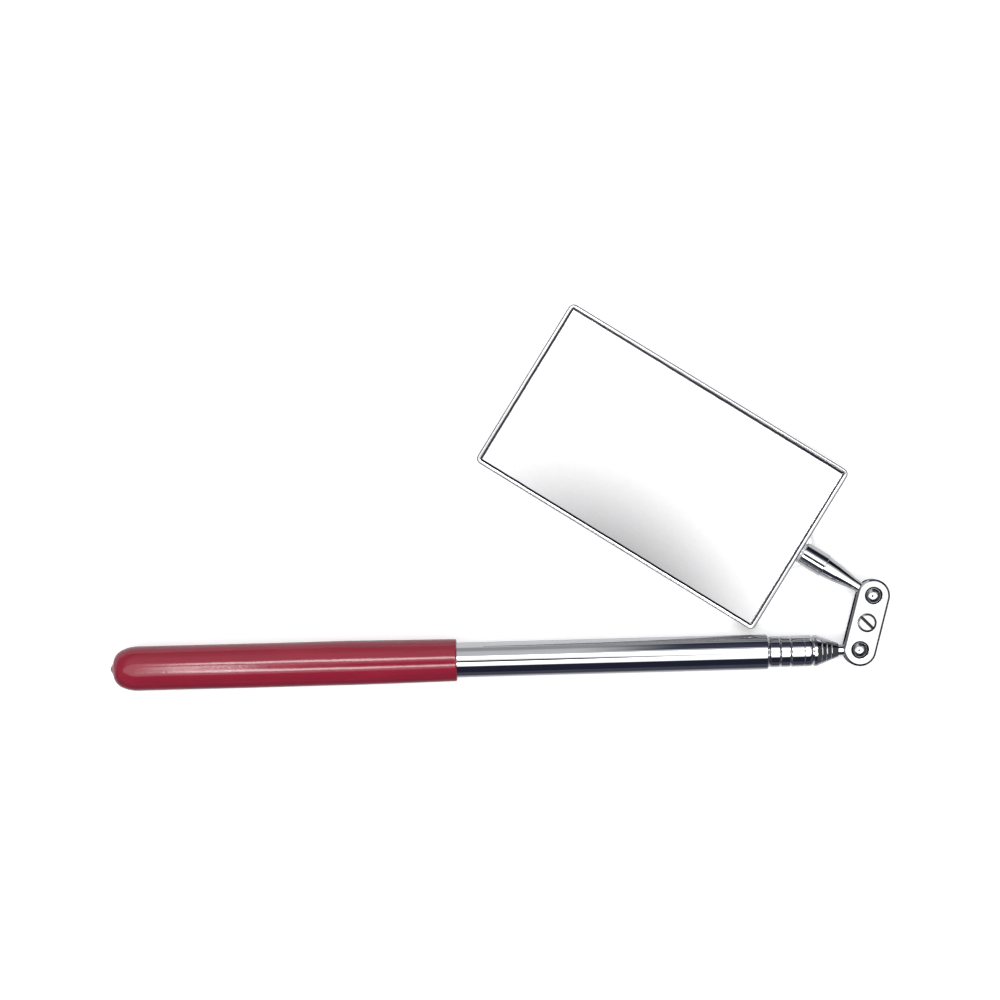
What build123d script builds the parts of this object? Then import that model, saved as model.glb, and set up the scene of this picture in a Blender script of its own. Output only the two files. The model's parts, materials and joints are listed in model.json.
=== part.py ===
from build123d import *
from math import asin, atan2, cos, degrees, hypot, pi, radians, sin, sqrt
import os

# Telescoping inspection mirror: a vinyl grip on three nested tubes, a double ball link and a framed
# rectangular mirror.  Millimetres.  The handle lies along X with its axis through the origin, which
# is the middle of the straight part of the grip.  The nubbed end of the grip points to -X, the link
# and mirror are at +X, the mirror faces +Z, and the tool lies on a surface below it.

# --- Running and assembly clearances (radial unless an end gap is named)
SLEEVE_CLEARANCE = 0.025
LIP_CLEARANCE = 0.05
BUSH_CLEARANCE = 0.05
SEAT_CLEARANCE = 0.02
PIVOT_CLEARANCE = 0.05
SCREW_CLEARANCE = 0.05
GLASS_CLEARANCE = 0.1
END_GAP = 0.05
STOP_GAP = 0.1

# --- Grip
GRIP_WALL = 1.3375
GRIP_DOME_LENGTH = 6.5
GRIP_DOME_FLAT_RADIUS = 2.2
GRIP_STRAIGHT_LENGTH = 57.5
GRIP_TAPER_LENGTH = 29.4
GRIP_TAPER = 0.3
GRIP_MOUTH_ROUND = 0.6
GRIP_END_THICKNESS = 2.5
NUB_RADIUS = 1.35
NUB_LENGTH = 1.0
NUB_ROUND = 0.4

# --- Outer tube, 3/8 in
OUTER_TUBE_RADIUS = 4.7625
OUTER_TUBE_WALL = 0.35
OUTER_TUBE_EXPOSED = 84.7
TUBE_END_HOLE_RADIUS = 2.0
TUBE_END_ROUND = 0.5
LIP_LENGTH = 1.5
LIP_RUN_IN = 0.3
LIP_ROUND = 0.45

# --- Middle tube and its friction sleeve
NEST_GAP = 0.1875
MIDDLE_TUBE_WALL = 0.35
MIDDLE_TUBE_EXPOSED = 12.1
MIDDLE_REAR_GAP = 5.15
NECK_STEP = 0.425
MIDDLE_NECK_LENGTH = 12.0
SWAGE_LENGTH = 0.6
COLLAR_LENGTH = 1.5
COLLAR_SHORTFALL = 0.025
SLEEVE_SLIT = 0.8
NOSE_ROUND_LENGTH = 1.0
NOSE_ROUND_DEPTH = 0.5
GROOVE_COUNT = 3
GROOVE_PITCH = 2.87
LAST_GROOVE_TO_NOSE = 6.0
GROOVE_DEPTH = 0.22
GROOVE_HALF_WIDTH = 0.32
SEAM_TO_NOSE = 2.3
SEAM_DEPTH = 0.07
SEAM_HALF_WIDTH = 0.15
BUSH_LENGTH = 12.4
BUSH_TO_NOSE = 0.8
NOSE_HOLE_CLEARANCE = 0.2

# --- Inner rod and its friction sleeve
ROD_GAP = 0.7
ROD_WALL = 0.5
ROD_REAR_GAP = 14.0
ROD_NECK_STEP = 0.4
ROD_NECK_LENGTH = 12.0
ROD_COLLAR_SHORTFALL = 0.175

# --- Ferrule and lower ball stud
FERRULE_GAP = 0.3
FERRULE_LENGTH = 6.8
FERRULE_LAND = 0.8
FERRULE_WALL_AT_TIP = 0.4
FERRULE_SOCKET_DEPTH = 2.3
FERRULE_RING_PITCH = 1.35
FERRULE_RING_COUNT = 3
FERRULE_RING_DEPTH = 0.1
FERRULE_RING_HALF_WIDTH = 0.16
FERRULE_TO_PLATE = 1.25
STUD_PLUG_LENGTH = 10.0

# --- Ball joint link
BALL_RADIUS = 3.175
LINK_ANGLE = 74.4
LINK_CENTRES = 15.2
PLATE_WIDTH = 8.9
PLATE_THICKNESS = 0.9
PLATE_HOLE_RADIUS = 2.385
SEAT_DEPTH = 0.276
NECK_TO_PLATE = 0.35
PLATE_EDGE_ROUND = 0.42
PLATE_HOLE_BEVEL = 0.18
SCREW_RADIUS = 1.45
SCREW_HEAD_RADIUS = 2.6
SCREW_HEAD_HEIGHT = 0.6
SCREW_HEAD_ROUND = 0.2
SCREW_SLOT_WIDTH = 0.75
SCREW_SLOT_DEPTH = 0.4
SCREW_TAIL_BEYOND_NUT = 0.3
SCREW_TAIL_BEVEL = 0.25
WASHER_RADIUS = 2.6
WASHER_THICKNESS = 0.5
WASHER_SLIT = 0.5
NUT_ACROSS_FLATS = 5.5
NUT_THICKNESS = 2.2
NUT_BEVEL = 0.25

# --- Mirror stem and bracket
STEM_NECK_BEYOND_PLATE = 0.15
STEM_WAIST_LENGTH = 1.9
STEM_WAIST_RISE = 0.22
STEM_FLARE_LENGTH = 4.9
STEM_FLARE_FALL = 0.4
STEM_SHOULDER_LENGTH = 3.8
STEM_SHOULDER_STEP = 0.225
BARREL_LENGTH = 7.1
BARREL_RADIUS = 3.175
BARREL_WALL = 0.925
BARREL_ROUND = 0.25
BARREL_TO_TRAY = 0.5
PEEN_STEP = 0.5
PEEN_THICKNESS = 0.85
STRAP_THICKNESS = 0.8
STRAP_WIDTH = 9.0
STRAP_ROOT_WIDTH = 4.4
STRAP_SHOULDER_WIDTH = 6.0
STRAP_ROOT = 1.3
STRAP_SHOULDER = 1.8
STRAP_SHOULDER_LENGTH = 1.0
STRAP_UNDER_TRAY = 42.0
STRAP_END_ROUND = 4.0
RIVET_RADIUS = 1.2
RIVET_HEAD_RADIUS = 1.95
RIVET_HEAD_HEIGHT = 0.5
RIVET_HEAD_ROUND = 0.3
RIVET_INNER_HEIGHT = 0.35
RIVET_INSETS = (9.0, 35.0)

# --- Mirror case and glass, 3-1/2 x 2 in
CASE_TO_TUBE = 1.65
TRAY_LENGTH = 88.9
TRAY_WIDTH = 50.8
TRAY_SHEET = 0.45
TRAY_CORNER_RADIUS = 1.6
TRAY_BEND_ROUND = 0.38
TRAY_FLANGE = 1.15
FLANGE_CORNER_RADIUS = 0.3
MITRE_SLIT = 0.22
PAD_THICKNESS = 0.5
SILVER_THICKNESS = 0.05
GLASS_THICKNESS = 2.35

# --- Radii of the nest, each from the tube around it
grip_radius = OUTER_TUBE_RADIUS + GRIP_WALL
outer_bore = OUTER_TUBE_RADIUS - OUTER_TUBE_WALL
middle_radius = outer_bore - NEST_GAP
middle_bore = middle_radius - MIDDLE_TUBE_WALL
middle_neck = middle_radius - NECK_STEP
lip_bore = middle_radius + LIP_CLEARANCE
rod_radius = middle_bore - ROD_GAP
rod_bore = rod_radius - ROD_WALL
rod_neck = rod_radius - ROD_NECK_STEP
bush_bore = rod_radius + BUSH_CLEARANCE

# --- Stations along the handle axis
grip_rear = -GRIP_DOME_LENGTH - GRIP_STRAIGHT_LENGTH / 2
grip_mouth = GRIP_STRAIGHT_LENGTH / 2 + GRIP_TAPER_LENGTH
tube_rear = grip_rear + GRIP_END_THICKNESS
tube_mouth = grip_mouth + OUTER_TUBE_EXPOSED
middle_rear = tube_rear + OUTER_TUBE_WALL + MIDDLE_REAR_GAP
middle_shoulder = middle_rear + MIDDLE_NECK_LENGTH
nose_end = tube_mouth + MIDDLE_TUBE_EXPOSED
bush_front = nose_end - BUSH_TO_NOSE
bush_rear = bush_front - BUSH_LENGTH
rod_rear = middle_rear + ROD_REAR_GAP
rod_shoulder = rod_rear + ROD_NECK_LENGTH
ferrule_start = nose_end + FERRULE_GAP
rod_front = ferrule_start + FERRULE_SOCKET_DEPTH
ferrule_tip = ferrule_start + FERRULE_LENGTH
lower_ball = Vector(ferrule_tip + FERRULE_TO_PLATE + PLATE_WIDTH / 2, 0, 0)

# --- Ball joints: the plates stand where the rims of their holes meet the balls
seat_radius = BALL_RADIUS + SEAT_CLEARANCE
plate_inner = sqrt(seat_radius**2 - PLATE_HOLE_RADIUS**2) - SEAT_DEPTH
plate_outer = plate_inner + PLATE_THICKNESS
neck_radius = plate_inner - NECK_TO_PLATE
neck_start = sqrt(BALL_RADIUS**2 - neck_radius**2)
nut_top = -plate_outer - WASHER_THICKNESS
screw_tail = -max(grip_radius, NUT_THICKNESS + SCREW_TAIL_BEYOND_NUT - nut_top)

# --- Stations and radii along the stem, from the upper ball
stem_neck_end = PLATE_WIDTH / 2 + STEM_NECK_BEYOND_PLATE
stem_waist = stem_neck_end + STEM_WAIST_LENGTH
stem_flare = stem_waist + STEM_FLARE_LENGTH
barrel_start = stem_flare + STEM_SHOULDER_LENGTH
barrel_end = barrel_start + BARREL_LENGTH
tray_start = barrel_end + BARREL_TO_TRAY
tray_end = tray_start + TRAY_LENGTH
shoulder_radius = BARREL_RADIUS - STEM_SHOULDER_STEP
pivot_bore = BARREL_RADIUS - BARREL_WALL
peen_bore = pivot_bore + PEEN_STEP
peen_start = barrel_end - PEEN_THICKNESS - END_GAP
peen_seat = peen_start - END_GAP

# --- Link and head placement.  The near corner of the mirror case stands just off the outer tube,
# and the head leans down so that the far edge of its case lies on the same surface as the grip.
link_direction = Vector(cos(radians(LINK_ANGLE)), sin(radians(LINK_ANGLE)), 0)
upper_ball = lower_ball + link_direction * LINK_CENTRES
corner_along = tray_start + TRAY_CORNER_RADIUS
corner_across = TRAY_WIDTH / 2 - TRAY_CORNER_RADIUS
corner_fall = upper_ball.Y - OUTER_TUBE_RADIUS - CASE_TO_TUBE - TRAY_CORNER_RADIUS
head_turn = pi + asin(corner_fall / hypot(corner_along, corner_across)) - atan2(corner_across, corner_along)
tray_back = -(BARREL_RADIUS - STRAP_THICKNESS)
tray_height = 2 * TRAY_SHEET + PAD_THICKNESS + SILVER_THICKNESS + GLASS_THICKNESS
head_dip = asin(grip_radius / hypot(tray_end, tray_back)) - atan2(-tray_back, tray_end)
stem_direction = Vector(cos(head_dip) * cos(head_turn), cos(head_dip) * sin(head_turn), -sin(head_dip))
mirror_normal = Vector(sin(head_dip) * cos(head_turn), sin(head_dip) * sin(head_turn), cos(head_dip))

link_plane = Plane(origin=lower_ball, x_dir=link_direction, z_dir=(0, 0, 1))
head_plane = Plane(origin=upper_ball, x_dir=stem_direction, z_dir=mirror_normal)
stem_section = Plane(origin=upper_ball, x_dir=stem_direction, z_dir=stem_direction.cross(mirror_normal))
stem_axis = Axis(upper_ball, stem_direction)
normal_axis = Axis(upper_ball, mirror_normal)
stud_section = Plane(origin=lower_ball, x_dir=(-1, 0, 0), z_dir=(0, 1, 0))


def dip(centre, half_width, depth, radius):
    """Three points of a V groove pressed into a tube wall."""
    return [(centre - half_width, radius), (centre, radius - depth), (centre + half_width, radius)]


def nose_grooves(radius):
    """The points of the rolled grooves in the nose of the middle tube, from the rear to the front."""
    first = nose_end - LAST_GROOVE_TO_NOSE - (GROOVE_COUNT - 1) * GROOVE_PITCH
    points = []
    for number in range(GROOVE_COUNT):
        points += dip(first + number * GROOVE_PITCH, GROOVE_HALF_WIDTH, GROOVE_DEPTH, radius)
    return points


def finish(piece, name):
    """Labels a finished part and writes it to its own file."""
    piece.part.label = name
    export_step(piece.part, f"parts/{name}.step")


# ---------------------------------------------------------------- handle


with BuildPart() as grip:
    with BuildSketch(Plane.XZ):
        with BuildLine():
            Polyline(
                (grip_rear + GRIP_END_THICKNESS, 0),
                (grip_rear - NUB_LENGTH, 0),
                (grip_rear - NUB_LENGTH, NUB_RADIUS),
                (grip_rear, NUB_RADIUS),
                (grip_rear, GRIP_DOME_FLAT_RADIUS),
            )
            EllipticalCenterArc(
                center=(grip_rear + GRIP_DOME_LENGTH, GRIP_DOME_FLAT_RADIUS),
                x_radius=GRIP_DOME_LENGTH,
                y_radius=grip_radius - GRIP_DOME_FLAT_RADIUS,
                start_angle=90,
                arc_size=90,
            )
            Polyline(
                (grip_rear + GRIP_DOME_LENGTH, grip_radius),
                (grip_mouth - GRIP_TAPER_LENGTH, grip_radius),
                (grip_mouth, grip_radius - GRIP_TAPER),
                (grip_mouth, OUTER_TUBE_RADIUS),
                (tube_rear, OUTER_TUBE_RADIUS),
                (tube_rear, 0),
            )
        make_face()
    revolve(axis=Axis.X)
    mouth_edges = grip.faces().filter_by(Axis.X).sort_by(Axis.X)[-1].edges()
    fillet(mouth_edges.sort_by(SortBy.RADIUS)[-1], GRIP_MOUTH_ROUND)
    fillet(grip.faces().filter_by(Axis.X).sort_by(Axis.X)[0].edges(), NUB_ROUND)

with BuildPart() as outer_tube:
    with BuildSketch(Plane.XZ):
        with BuildLine():
            Polyline(
                (tube_rear, TUBE_END_HOLE_RADIUS),
                (tube_rear, OUTER_TUBE_RADIUS),
                (tube_mouth, OUTER_TUBE_RADIUS),
                (tube_mouth, lip_bore),
                (tube_mouth - LIP_LENGTH, lip_bore),
                (tube_mouth - LIP_LENGTH - LIP_RUN_IN, outer_bore),
                (tube_rear + OUTER_TUBE_WALL, outer_bore),
                (tube_rear + OUTER_TUBE_WALL, TUBE_END_HOLE_RADIUS),
                close=True,
            )
        make_face()
    revolve(axis=Axis.X)
    rear_edges = outer_tube.faces().filter_by(Axis.X).sort_by(Axis.X)[0].edges()
    fillet(rear_edges.sort_by(SortBy.RADIUS)[-1], TUBE_END_ROUND)
    front_edges = outer_tube.faces().filter_by(Axis.X).sort_by(Axis.X)[-1].edges()
    fillet(front_edges.sort_by(SortBy.RADIUS)[-1], LIP_ROUND)

# ---------------------------------------------------------------- middle tube


middle_sleeve_rear = middle_rear + COLLAR_LENGTH + END_GAP
middle_sleeve_front = middle_shoulder - END_GAP

with BuildPart() as middle_friction_sleeve:
    with BuildSketch(Plane.YZ.offset(middle_sleeve_rear)):
        Circle(outer_bore - SLEEVE_CLEARANCE)
        Circle(middle_neck + SLEEVE_CLEARANCE, mode=Mode.SUBTRACT)
        with Locations((0, outer_bore)):
            Rectangle(SLEEVE_SLIT, 2 * NECK_STEP + 2 * NEST_GAP, mode=Mode.SUBTRACT)
    extrude(amount=middle_sleeve_front - middle_sleeve_rear)

with BuildPart() as middle_tube:
    with BuildSketch(Plane.XZ):
        with BuildLine():
            Polyline(
                (middle_rear, middle_neck - MIDDLE_TUBE_WALL),
                (middle_rear, middle_neck),
                (middle_shoulder, middle_neck),
                (middle_shoulder + SWAGE_LENGTH / 2, middle_radius),
                *nose_grooves(middle_radius),
                *dip(nose_end - SEAM_TO_NOSE, SEAM_HALF_WIDTH, SEAM_DEPTH, middle_radius),
                (nose_end - NOSE_ROUND_LENGTH, middle_radius),
            )
            EllipticalCenterArc(
                center=(nose_end - NOSE_ROUND_LENGTH, middle_radius - NOSE_ROUND_DEPTH),
                x_radius=NOSE_ROUND_LENGTH,
                y_radius=NOSE_ROUND_DEPTH,
                start_angle=0,
                arc_size=90,
            )
            Polyline(
                (nose_end, middle_radius - NOSE_ROUND_DEPTH),
                (nose_end, bush_bore + NOSE_HOLE_CLEARANCE),
                (bush_front, bush_bore + NOSE_HOLE_CLEARANCE),
                (bush_front, middle_bore),
                *reversed(nose_grooves(middle_bore)),
                (middle_shoulder + SWAGE_LENGTH, middle_bore),
                (middle_shoulder, middle_neck - MIDDLE_TUBE_WALL),
                (middle_rear, middle_neck - MIDDLE_TUBE_WALL),
            )
        make_face()
    revolve(axis=Axis.X)

with BuildPart() as middle_tail_collar:
    with BuildSketch(Plane.YZ.offset(middle_rear)):
        Circle(middle_radius - COLLAR_SHORTFALL)
        Circle(middle_neck, mode=Mode.SUBTRACT)
    extrude(amount=COLLAR_LENGTH)

with BuildPart() as nose_guide_bush:
    with BuildSketch(Plane.XZ):
        with BuildLine():
            Polyline(
                (bush_rear, bush_bore),
                (bush_rear, middle_bore),
                *nose_grooves(middle_bore),
                (bush_front, middle_bore),
                (bush_front, bush_bore),
                close=True,
            )
        make_face()
    revolve(axis=Axis.X)

# ---------------------------------------------------------------- inner rod


rod_sleeve_rear = rod_rear + COLLAR_LENGTH + END_GAP
rod_sleeve_front = rod_shoulder - END_GAP

with BuildPart() as rod_friction_sleeve:
    with BuildSketch(Plane.YZ.offset(rod_sleeve_rear)):
        Circle(middle_bore - SLEEVE_CLEARANCE)
        Circle(rod_neck + SLEEVE_CLEARANCE, mode=Mode.SUBTRACT)
        with Locations((0, middle_bore)):
            Rectangle(SLEEVE_SLIT, 2 * ROD_NECK_STEP + 2 * ROD_GAP, mode=Mode.SUBTRACT)
    extrude(amount=rod_sleeve_front - rod_sleeve_rear)

with BuildPart() as inner_rod:
    with BuildSketch(Plane.XZ):
        with BuildLine():
            Polyline(
                (rod_rear, rod_neck - ROD_WALL),
                (rod_rear, rod_neck),
                (rod_shoulder, rod_neck),
                (rod_shoulder + SWAGE_LENGTH / 2, rod_radius),
                (rod_front, rod_radius),
                (rod_front, rod_bore),
                (rod_shoulder + SWAGE_LENGTH, rod_bore),
                (rod_shoulder, rod_neck - ROD_WALL),
                close=True,
            )
        make_face()
    revolve(axis=Axis.X)

with BuildPart() as rod_tail_collar:
    with BuildSketch(Plane.YZ.offset(rod_rear)):
        Circle(middle_bore - ROD_COLLAR_SHORTFALL)
        Circle(rod_neck, mode=Mode.SUBTRACT)
    extrude(amount=COLLAR_LENGTH)

ferrule_tip_radius = neck_radius + FERRULE_WALL_AT_TIP
cone_start = ferrule_start + FERRULE_LAND
cone_slope = (middle_radius - ferrule_tip_radius) / (ferrule_tip - cone_start)
ferrule_ring_points = []
for ring in range(1, FERRULE_RING_COUNT + 1):
    ring_x = cone_start + ring * FERRULE_RING_PITCH
    ring_radius = middle_radius - cone_slope * (ring_x - cone_start)
    edge_rise = cone_slope * FERRULE_RING_HALF_WIDTH
    ferrule_ring_points += [
        (ring_x - FERRULE_RING_HALF_WIDTH, ring_radius + edge_rise),
        (ring_x, ring_radius - FERRULE_RING_DEPTH),
        (ring_x + FERRULE_RING_HALF_WIDTH, ring_radius - edge_rise),
    ]

with BuildPart() as tip_ferrule:
    with BuildSketch(Plane.XZ):
        with BuildLine():
            Polyline(
                (ferrule_start, rod_radius),
                (ferrule_start, middle_radius - FERRULE_RING_DEPTH),
                (ferrule_start + FERRULE_RING_DEPTH, middle_radius),
                (cone_start, middle_radius),
                *ferrule_ring_points,
                (ferrule_tip, ferrule_tip_radius),
                (ferrule_tip, neck_radius),
                (rod_front, neck_radius),
                (rod_front, rod_radius),
                close=True,
            )
        make_face()
    revolve(axis=Axis.X)

with BuildPart() as lower_ball_stud:
    with BuildSketch(stud_section):
        with BuildLine():
            Line((-BALL_RADIUS, 0), (neck_start, 0))
            Polyline(
                (neck_start, 0),
                (lower_ball.X - rod_front + STUD_PLUG_LENGTH, 0),
                (lower_ball.X - rod_front + STUD_PLUG_LENGTH, rod_bore),
                (lower_ball.X - rod_front, rod_bore),
                (lower_ball.X - rod_front, neck_radius),
                (neck_start, neck_radius),
            )
            ThreePointArc((neck_start, neck_radius), (0, BALL_RADIUS), (-BALL_RADIUS, 0))
        make_face()
    revolve(axis=Axis.X)

# ---------------------------------------------------------------- ball joint link


def link_plate(bottom, outer_side):
    """One clamp plate: a slotted outline with two ball seats and the screw hole."""
    with BuildPart() as plate:
        with BuildSketch(link_plane.offset(bottom)):
            with Locations((LINK_CENTRES / 2, 0)):
                SlotCenterToCenter(LINK_CENTRES, PLATE_WIDTH)
                Circle(SCREW_RADIUS + SCREW_CLEARANCE, mode=Mode.SUBTRACT)
            with Locations((0, 0), (LINK_CENTRES, 0)):
                Circle(PLATE_HOLE_RADIUS, mode=Mode.SUBTRACT)
        extrude(amount=PLATE_THICKNESS)
        outer_face = plate.faces().filter_by(Axis.Z).sort_by(Axis.Z)[outer_side]
        rim = outer_face.outer_wire().edges()
        holes = outer_face.inner_wires().sort_by(SortBy.LENGTH)[-2:]
        bevel_edges = ShapeList([edge for hole in holes for edge in hole.edges()])
        fillet(rim, PLATE_EDGE_ROUND)
        chamfer(bevel_edges, PLATE_HOLE_BEVEL)
        with Locations(lower_ball, upper_ball):
            Sphere(seat_radius, mode=Mode.SUBTRACT)
    return plate


front_link_plate = link_plate(plate_inner, -1)
rear_link_plate = link_plate(-plate_outer, 0)

with BuildPart() as clamp_screw:
    with BuildSketch(link_plane.offset(screw_tail)):
        with Locations((LINK_CENTRES / 2, 0)):
            Circle(SCREW_RADIUS)
    extrude(amount=plate_outer - screw_tail)
    chamfer(clamp_screw.faces().sort_by(Axis.Z)[0].edges(), SCREW_TAIL_BEVEL)
    with BuildSketch(link_plane.offset(plate_outer)):
        with Locations((LINK_CENTRES / 2, 0)):
            Circle(SCREW_HEAD_RADIUS)
    extrude(amount=SCREW_HEAD_HEIGHT)
    fillet(clamp_screw.faces().sort_by(Axis.Z)[-1].edges(), SCREW_HEAD_ROUND)
    with BuildSketch(link_plane.offset(plate_outer + SCREW_HEAD_HEIGHT)):
        with Locations((LINK_CENTRES / 2, 0)):
            Rectangle(SCREW_SLOT_WIDTH, 2 * SCREW_HEAD_RADIUS + 1, rotation=-30)
    extrude(amount=-SCREW_SLOT_DEPTH, mode=Mode.SUBTRACT)

with BuildPart() as lock_washer:
    with BuildSketch(link_plane.offset(nut_top)):
        with Locations((LINK_CENTRES / 2, 0)):
            Circle(WASHER_RADIUS)
            Circle(SCREW_RADIUS + SCREW_CLEARANCE, mode=Mode.SUBTRACT)
        with Locations((LINK_CENTRES / 2, WASHER_RADIUS)):
            Rectangle(WASHER_SLIT, 2 * WASHER_RADIUS, rotation=0, mode=Mode.SUBTRACT)
    extrude(amount=WASHER_THICKNESS)

with BuildPart() as clamp_nut:
    with BuildSketch(link_plane.offset(nut_top - NUT_THICKNESS)):
        with Locations((LINK_CENTRES / 2, 0)):
            RegularPolygon(NUT_ACROSS_FLATS / 2, 6, major_radius=False)
    extrude(amount=NUT_THICKNESS)
    chamfer(clamp_nut.faces().filter_by(Axis.Z).edges(), NUT_BEVEL)
    with BuildSketch(link_plane.offset(nut_top)):
        with Locations((LINK_CENTRES / 2, 0)):
            Circle(SCREW_RADIUS)
    extrude(amount=-NUT_THICKNESS, mode=Mode.SUBTRACT)

# ---------------------------------------------------------------- mirror stem and bracket


with BuildPart() as upper_ball_stem:
    with BuildSketch(stem_section):
        with BuildLine():
            Polyline(
                (-BALL_RADIUS, 0),
                (barrel_end - END_GAP, 0),
                (barrel_end - END_GAP, peen_bore - PIVOT_CLEARANCE),
                (peen_start, peen_bore - PIVOT_CLEARANCE),
                (peen_start, pivot_bore - PIVOT_CLEARANCE),
                (barrel_start - END_GAP, pivot_bore - PIVOT_CLEARANCE),
                (barrel_start - END_GAP, shoulder_radius),
                (stem_flare, shoulder_radius - STEM_FLARE_FALL),
                (stem_waist, neck_radius + STEM_WAIST_RISE),
                (stem_neck_end, neck_radius),
                (neck_start, neck_radius),
            )
            ThreePointArc((neck_start, neck_radius), (0, BALL_RADIUS), (-BALL_RADIUS, 0))
        make_face()
    revolve(axis=stem_axis)

strap_end = tray_start + STRAP_UNDER_TRAY
strap_root = barrel_start + STRAP_ROOT
strap_shoulder = tray_start - STRAP_SHOULDER

with BuildPart() as stem_bracket:
    with BuildSketch(stem_section):
        with BuildLine():
            Polyline(
                (barrel_start, pivot_bore),
                (barrel_start, BARREL_RADIUS),
                (barrel_end, BARREL_RADIUS),
                (barrel_end, peen_bore),
                (peen_seat, peen_bore),
                (peen_seat, pivot_bore),
                close=True,
            )
        make_face()
    revolve(axis=stem_axis)
    barrel_edges = stem_bracket.edges().filter_by(GeomType.CIRCLE).group_by(SortBy.RADIUS)[-1]
    fillet(barrel_edges, BARREL_ROUND)
    with BuildSketch(head_plane.offset(-BARREL_RADIUS)) as strap_sketch:
        with BuildLine():
            half_outline = Polyline(
                (strap_root, 0),
                (strap_root, STRAP_ROOT_WIDTH / 2),
                (strap_shoulder, STRAP_SHOULDER_WIDTH / 2),
                (strap_shoulder + STRAP_SHOULDER_LENGTH, STRAP_WIDTH / 2),
                (strap_end, STRAP_WIDTH / 2),
                (strap_end, 0),
            )
            mirror(half_outline, about=Plane.XZ)
        make_face()
        end_corners = strap_sketch.vertices().group_by(Axis.X)[-1]
        fillet(end_corners, STRAP_END_ROUND)
    extrude(amount=STRAP_THICKNESS)
    with BuildSketch(head_plane.offset(-BARREL_RADIUS)):
        with Locations(*[(tray_start + inset, 0) for inset in RIVET_INSETS]):
            Circle(RIVET_RADIUS)
    extrude(amount=STRAP_THICKNESS, mode=Mode.SUBTRACT)
    with BuildSketch(stem_section):
        with BuildLine():
            Polyline(
                (barrel_start, 0),
                (barrel_start, pivot_bore),
                (peen_seat, pivot_bore),
                (peen_seat, peen_bore),
                (barrel_end, peen_bore),
                (barrel_end, 0),
                close=True,
            )
        make_face()
    revolve(axis=stem_axis, mode=Mode.SUBTRACT)

rivet_inner_top = tray_back + TRAY_SHEET + RIVET_INNER_HEIGHT
rivet_foot = -BARREL_RADIUS - RIVET_HEAD_HEIGHT

with BuildPart() as bracket_rivets:
    with BuildSketch(head_plane.offset(rivet_foot)):
        with Locations(*[(tray_start + inset, 0) for inset in RIVET_INSETS]):
            Circle(RIVET_HEAD_RADIUS)
    extrude(amount=RIVET_HEAD_HEIGHT)
    foot_faces = bracket_rivets.faces().filter_by(normal_axis).group_by(normal_axis)[0]
    fillet(foot_faces.edges(), RIVET_HEAD_ROUND)
    with BuildSketch(head_plane.offset(-BARREL_RADIUS)):
        with Locations(*[(tray_start + inset, 0) for inset in RIVET_INSETS]):
            Circle(RIVET_RADIUS)
    extrude(amount=STRAP_THICKNESS + TRAY_SHEET)
    with BuildSketch(head_plane.offset(tray_back + TRAY_SHEET)):
        with Locations(*[(tray_start + inset, 0) for inset in RIVET_INSETS]):
            Circle(RIVET_HEAD_RADIUS)
    extrude(amount=RIVET_INNER_HEIGHT)

# ---------------------------------------------------------------- mirror case and glass


tray_middle = tray_start + TRAY_LENGTH / 2
pocket_length = TRAY_LENGTH - 2 * TRAY_SHEET
pocket_width = TRAY_WIDTH - 2 * TRAY_SHEET
pocket_corner = TRAY_CORNER_RADIUS - TRAY_SHEET
pocket_height = tray_height - 2 * TRAY_SHEET
pad_bottom = tray_back + TRAY_SHEET
silver_bottom = pad_bottom + PAD_THICKNESS
glass_bottom = silver_bottom + SILVER_THICKNESS
flange_bottom = tray_back + tray_height - TRAY_SHEET

with BuildPart() as mirror_tray:
    with BuildSketch(head_plane.offset(tray_back)):
        with Locations((tray_middle, 0)):
            RectangleRounded(TRAY_LENGTH, TRAY_WIDTH, TRAY_CORNER_RADIUS)
    extrude(amount=tray_height)
    flat_faces = mirror_tray.faces().filter_by(normal_axis)
    fillet(flat_faces.edges(), TRAY_BEND_ROUND)
    with BuildSketch(head_plane.offset(pad_bottom)):
        with Locations((tray_middle, 0)):
            RectangleRounded(pocket_length, pocket_width, pocket_corner)
    extrude(amount=pocket_height, mode=Mode.SUBTRACT)
    with BuildSketch(head_plane.offset(flange_bottom)):
        with Locations((tray_middle, 0)):
            RectangleRounded(
                TRAY_LENGTH - 2 * TRAY_FLANGE,
                TRAY_WIDTH - 2 * TRAY_FLANGE,
                FLANGE_CORNER_RADIUS,
            )
        slit_length = 2 * sqrt(2) * TRAY_FLANGE
        for x_side in (-1, 1):
            for y_side in (-1, 1):
                corner_x = tray_middle + x_side * (TRAY_LENGTH / 2 - TRAY_FLANGE)
                corner_y = y_side * (TRAY_WIDTH / 2 - TRAY_FLANGE)
                with Locations((corner_x, corner_y)):
                    Rectangle(slit_length, MITRE_SLIT, rotation=45 * x_side * y_side)
    extrude(amount=TRAY_SHEET, mode=Mode.SUBTRACT)
    with BuildSketch(head_plane.offset(tray_back)):
        with Locations(*[(tray_start + inset, 0) for inset in RIVET_INSETS]):
            Circle(RIVET_RADIUS)
    extrude(amount=TRAY_SHEET, mode=Mode.SUBTRACT)

with BuildPart() as backing_pad:
    with BuildSketch(head_plane.offset(pad_bottom)):
        with Locations((tray_middle, 0)):
            RectangleRounded(
                pocket_length - 2 * GLASS_CLEARANCE,
                pocket_width - 2 * GLASS_CLEARANCE,
                pocket_corner,
            )
        with Locations(*[(tray_start + inset, 0) for inset in RIVET_INSETS]):
            Circle(RIVET_HEAD_RADIUS + GLASS_CLEARANCE, mode=Mode.SUBTRACT)
    extrude(amount=PAD_THICKNESS)


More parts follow.
